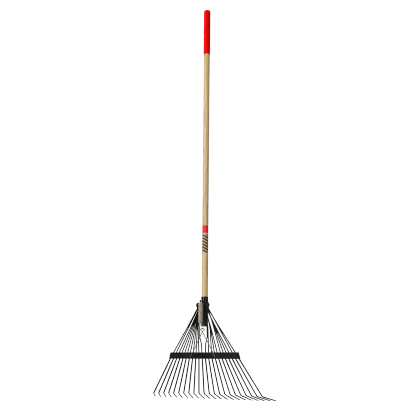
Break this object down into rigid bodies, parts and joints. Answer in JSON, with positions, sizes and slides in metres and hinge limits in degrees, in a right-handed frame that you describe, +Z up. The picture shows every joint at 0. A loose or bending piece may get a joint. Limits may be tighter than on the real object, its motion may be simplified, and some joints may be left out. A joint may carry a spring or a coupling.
{
  "type": "leaf rake",
  "caption": "Leaf rake: long round wooden handle with a dipped grip, steel ferrule, a fan of sprung flat tines with bent tips, a slotted spreader bar and a coil-spring brace.",
  "frame": {"origin": "middle of the grip's straight length, on the handle's axis", "axes": "+Z up along the handle away from the head, X along the spreader bar, +Y the way the tine tips point; the brace spring is on the -Y side"},
  "size_m": [0.5338, 0.1001, 1.4839],
  "materials": {
    "wood": "clear lacquer",
    "grip": "dipped vinyl",
    "black_enamel": "black enamel",
    "tine_enamel": "thin black enamel on spring steel",
    "galvanised": "zinc plated, slightly yellowed"
  },
  "bodies": {
    "rake": {"wood_handle": "wood", "grip_sleeve": "grip", "ferrule": "black_enamel", "tine_clamp": "black_enamel", "anchor_pin": "black_enamel", "brace_spring": "galvanised", "brace_wire": "galvanised", "spreader_bar": "black_enamel", "tine_root_01": "tine_enamel", "tine_root_02": "tine_enamel", "tine_root_03": "tine_enamel", "tine_root_04": "tine_enamel", "tine_root_05": "tine_enamel", "tine_root_06": "tine_enamel", "tine_root_07": "tine_enamel", "tine_root_08": "tine_enamel", "tine_root_09": "tine_enamel", "tine_root_10": "tine_enamel", "tine_root_11": "tine_enamel", "tine_root_12": "tine_enamel", "tine_root_13": "tine_enamel", "tine_root_14": "tine_enamel", "tine_root_15": "tine_enamel", "tine_root_16": "tine_enamel", "tine_root_17": "tine_enamel", "tine_root_18": "tine_enamel", "tine_root_19": "tine_enamel", "tine_root_20": "tine_enamel", "tine_root_21": "tine_enamel", "tine_root_22": "tine_enamel"},
    "tine_01_spring_end": {"tine_01": "tine_enamel"},
    "tine_02_spring_end": {"tine_02": "tine_enamel"},
    "tine_03_spring_end": {"tine_03": "tine_enamel"},
    "tine_04_spring_end": {"tine_04": "tine_enamel"},
    "tine_05_spring_end": {"tine_05": "tine_enamel"},
    "tine_06_spring_end": {"tine_06": "tine_enamel"},
    "tine_07_spring_end": {"tine_07": "tine_enamel"},
    "tine_08_spring_end": {"tine_08": "tine_enamel"},
    "tine_09_spring_end": {"tine_09": "tine_enamel"},
    "tine_10_spring_end": {"tine_10": "tine_enamel"},
    "tine_11_spring_end": {"tine_11": "tine_enamel"},
    "tine_12_spring_end": {"tine_12": "tine_enamel"},
    "tine_13_spring_end": {"tine_13": "tine_enamel"},
    "tine_14_spring_end": {"tine_14": "tine_enamel"},
    "tine_15_spring_end": {"tine_15": "tine_enamel"},
    "tine_16_spring_end": {"tine_16": "tine_enamel"},
    "tine_17_spring_end": {"tine_17": "tine_enamel"},
    "tine_18_spring_end": {"tine_18": "tine_enamel"},
    "tine_19_spring_end": {"tine_19": "tine_enamel"},
    "tine_20_spring_end": {"tine_20": "tine_enamel"},
    "tine_21_spring_end": {"tine_21": "tine_enamel"},
    "tine_22_spring_end": {"tine_22": "tine_enamel"}
  },
  "joints": [
    {"name": "tine_01_flex", "type": "hinge", "parent": "rake", "child": "tine_01_spring_end", "pos_m": [-0.14863, -0.00347, -1.2391], "axis": [-0.8275, 0, 0.5614], "range_deg": [-6, 12], "stiffness_Nm_per_rad": 3.65},
    {"name": "tine_02_flex", "type": "hinge", "parent": "rake", "child": "tine_02_spring_end", "pos_m": [-0.1345, -0.0034, -1.2391], "axis": [-0.8511, 0, 0.525], "range_deg": [-6, 12], "stiffness_Nm_per_rad": 3.65},
    {"name": "tine_03_flex", "type": "hinge", "parent": "rake", "child": "tine_03_spring_end", "pos_m": [-0.12036, -0.00333, -1.2391], "axis": [-0.8745, 0, 0.485], "range_deg": [-6, 12], "stiffness_Nm_per_rad": 3.65},
    {"name": "tine_04_flex", "type": "hinge", "parent": "rake", "child": "tine_04_spring_end", "pos_m": [-0.10621, -0.00328, -1.2391], "axis": [-0.8975, 0, 0.4409], "range_deg": [-6, 12], "stiffness_Nm_per_rad": 3.65},
    {"name": "tine_05_flex", "type": "hinge", "parent": "rake", "child": "tine_05_spring_end", "pos_m": [-0.09206, -0.00323, -1.2391], "axis": [-0.9196, 0, 0.3929], "range_deg": [-6, 12], "stiffness_Nm_per_rad": 3.65},
    {"name": "tine_06_flex", "type": "hinge", "parent": "rake", "child": "tine_06_spring_end", "pos_m": [-0.07791, -0.00318, -1.2391], "axis": [-0.9401, 0, 0.341], "range_deg": [-6, 12], "stiffness_Nm_per_rad": 3.65},
    {"name": "tine_07_flex", "type": "hinge", "parent": "rake", "child": "tine_07_spring_end", "pos_m": [-0.06375, -0.00315, -1.2391], "axis": [-0.9585, 0, 0.2852], "range_deg": [-6, 12], "stiffness_Nm_per_rad": 3.65},
    {"name": "tine_08_flex", "type": "hinge", "parent": "rake", "child": "tine_08_spring_end", "pos_m": [-0.04958, -0.00312, -1.2391], "axis": [-0.9742, 0, 0.2259], "range_deg": [-6, 12], "stiffness_Nm_per_rad": 3.65},
    {"name": "tine_09_flex", "type": "hinge", "parent": "rake", "child": "tine_09_spring_end", "pos_m": [-0.03542, -0.0031, -1.2391], "axis": [-0.9865, 0, 0.1637], "range_deg": [-6, 12], "stiffness_Nm_per_rad": 3.65},
    {"name": "tine_10_flex", "type": "hinge", "parent": "rake", "child": "tine_10_spring_end", "pos_m": [-0.02125, -0.00308, -1.2391], "axis": [-0.9951, 0, 0.0991], "range_deg": [-6, 12], "stiffness_Nm_per_rad": 3.65},
    {"name": "tine_11_flex", "type": "hinge", "parent": "rake", "child": "tine_11_spring_end", "pos_m": [-0.00708, -0.00307, -1.2391], "axis": [-0.9994, 0, 0.0332], "range_deg": [-6, 12], "stiffness_Nm_per_rad": 3.65},
    {"name": "tine_12_flex", "type": "hinge", "parent": "rake", "child": "tine_12_spring_end", "pos_m": [0.00708, -0.00307, -1.2391], "axis": [-0.9994, 0, -0.0332], "range_deg": [-6, 12], "stiffness_Nm_per_rad": 3.65},
    {"name": "tine_13_flex", "type": "hinge", "parent": "rake", "child": "tine_13_spring_end", "pos_m": [0.02125, -0.00308, -1.2391], "axis": [-0.9951, 0, -0.0991], "range_deg": [-6, 12], "stiffness_Nm_per_rad": 3.65},
    {"name": "tine_14_flex", "type": "hinge", "parent": "rake", "child": "tine_14_spring_end", "pos_m": [0.03542, -0.0031, -1.2391], "axis": [-0.9865, 0, -0.1637], "range_deg": [-6, 12], "stiffness_Nm_per_rad": 3.65},
    {"name": "tine_15_flex", "type": "hinge", "parent": "rake", "child": "tine_15_spring_end", "pos_m": [0.04958, -0.00312, -1.2391], "axis": [-0.9742, 0, -0.2259], "range_deg": [-6, 12], "stiffness_Nm_per_rad": 3.65},
    {"name": "tine_16_flex", "type": "hinge", "parent": "rake", "child": "tine_16_spring_end", "pos_m": [0.06375, -0.00315, -1.2391], "axis": [-0.9585, 0, -0.2852], "range_deg": [-6, 12], "stiffness_Nm_per_rad": 3.65},
    {"name": "tine_17_flex", "type": "hinge", "parent": "rake", "child": "tine_17_spring_end", "pos_m": [0.07791, -0.00318, -1.2391], "axis": [-0.9401, 0, -0.341], "range_deg": [-6, 12], "stiffness_Nm_per_rad": 3.65},
    {"name": "tine_18_flex", "type": "hinge", "parent": "rake", "child": "tine_18_spring_end", "pos_m": [0.09206, -0.00323, -1.2391], "axis": [-0.9196, 0, -0.3929], "range_deg": [-6, 12], "stiffness_Nm_per_rad": 3.65},
    {"name": "tine_19_flex", "type": "hinge", "parent": "rake", "child": "tine_19_spring_end", "pos_m": [0.10621, -0.00328, -1.2391], "axis": [-0.8975, 0, -0.4409], "range_deg": [-6, 12], "stiffness_Nm_per_rad": 3.65},
    {"name": "tine_20_flex", "type": "hinge", "parent": "rake", "child": "tine_20_spring_end", "pos_m": [0.12036, -0.00333, -1.2391], "axis": [-0.8745, 0, -0.485], "range_deg": [-6, 12], "stiffness_Nm_per_rad": 3.65},
    {"name": "tine_21_flex", "type": "hinge", "parent": "rake", "child": "tine_21_spring_end", "pos_m": [0.1345, -0.0034, -1.2391], "axis": [-0.8511, 0, -0.525], "range_deg": [-6, 12], "stiffness_Nm_per_rad": 3.65},
    {"name": "tine_22_flex", "type": "hinge", "parent": "rake", "child": "tine_22_spring_end", "pos_m": [0.14863, -0.00347, -1.2391], "axis": [-0.8275, 0, -0.5614], "range_deg": [-6, 12], "stiffness_Nm_per_rad": 3.65}
  ]
}
